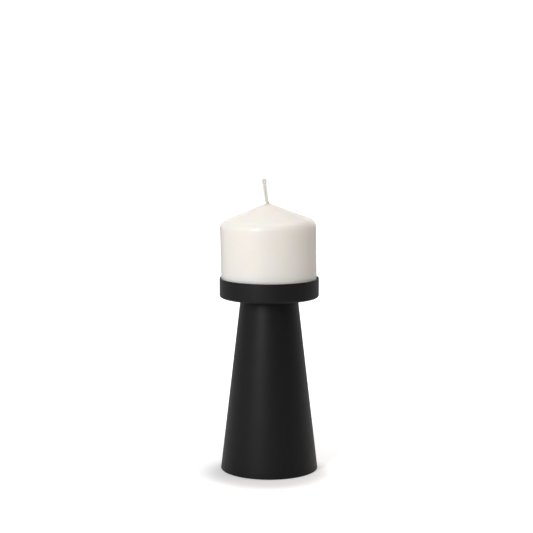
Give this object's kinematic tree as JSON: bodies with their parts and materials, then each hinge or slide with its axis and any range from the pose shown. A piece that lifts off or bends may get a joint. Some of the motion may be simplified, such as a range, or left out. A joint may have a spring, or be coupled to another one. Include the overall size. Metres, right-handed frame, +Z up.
{
  "type": "pillar candle holder",
  "caption": "Matte black metal candle holder: a shallow round cup on a tall tapered cone, with a white pillar candle that lifts out.",
  "frame": {"origin": "centre of the face that the holder stands on", "axes": "+Z up along the cone's axis; the wick leans towards -X"},
  "size_m": [0.0792, 0.0792, 0.2344],
  "materials": {
    "cup_coat": "satin",
    "stem_coat": "satin",
    "base_coat": "matte",
    "plate_steel": "satin",
    "nut_zinc": "satin",
    "screw_zinc": "satin",
    "tab_tin": "satin",
    "pad_felt": "matte",
    "wax": "satin",
    "wick_cotton": "matte"
  },
  "bodies": {
    "holder": {"candle_cup": "cup_coat", "stem_cone": "stem_coat", "stem_top_plate": "plate_steel", "weld_nut": "nut_zinc", "cup_screw": "screw_zinc", "base_plate": "base_coat", "base_pad": "pad_felt"},
    "candle": {"candle_wax": "wax", "wick": "wick_cotton", "wick_tab": "tab_tin"}
  },
  "joints": [
    {"name": "candle_lift", "type": "slide", "parent": "holder", "child": "candle", "axis": [0, 0, 1], "range_m": [0, 0.1]}
  ]
}
